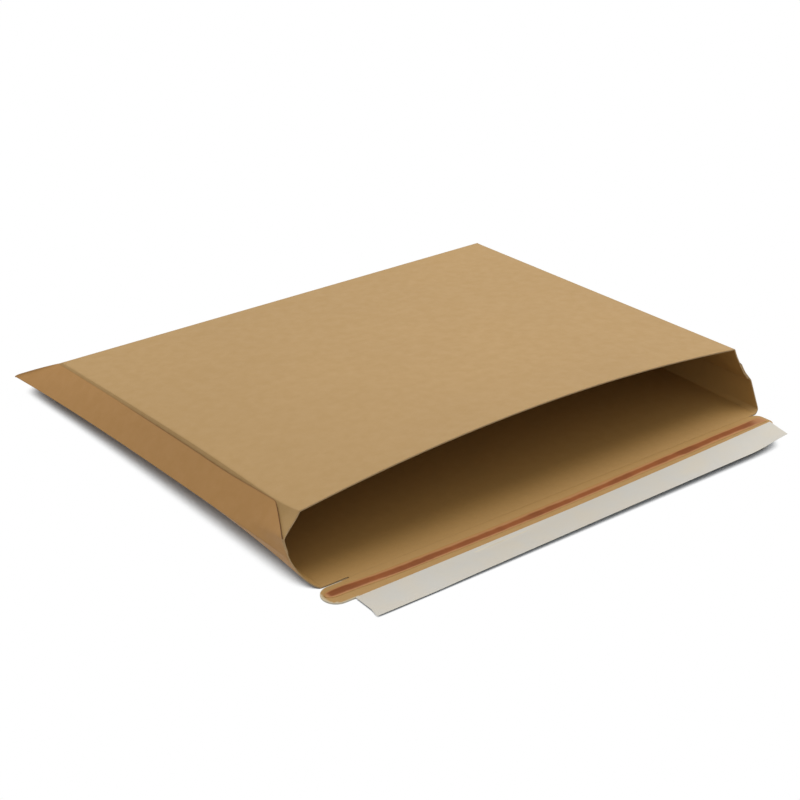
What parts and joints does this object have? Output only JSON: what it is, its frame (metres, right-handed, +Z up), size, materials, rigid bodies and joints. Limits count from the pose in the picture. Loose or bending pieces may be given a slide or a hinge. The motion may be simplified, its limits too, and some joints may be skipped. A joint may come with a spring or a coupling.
{
  "type": "book wrap mailer",
  "caption": "Flat solid-board mailer with bellows sides and back, open along its long front edge, with a creased closure flap that carries a tear strip and a peel-off adhesive liner.",
  "frame": {"origin": "on the base, under the middle of the whole part's box", "axes": "+Z up, the mouth and the closure flap face -Y, +X along the mouth to the right as seen from the front"},
  "size_m": [0.3528, 0.3218, 0.0454],
  "materials": {
    "kraft_board": "uncoated brown kraft board, matte",
    "tear_tape": "thin translucent red-brown tear tape, satin",
    "adhesive": "clear pressure-sensitive adhesive",
    "release_liner": "off-white siliconised paper, smooth"
  },
  "bodies": {
    "pocket": {"mailer_body": "kraft_board"},
    "flap": {"closure_flap": "kraft_board", "tear_tape": "tear_tape", "adhesive_strip": "adhesive", "release_liner": "release_liner"}
  },
  "joints": [
    {"name": "closure_flap_fold", "type": "hinge", "parent": "pocket", "child": "flap", "pos_m": [0, -0.12415, 0.0007], "axis": [-1, 0, 0], "range_deg": [0, 130]}
  ]
}
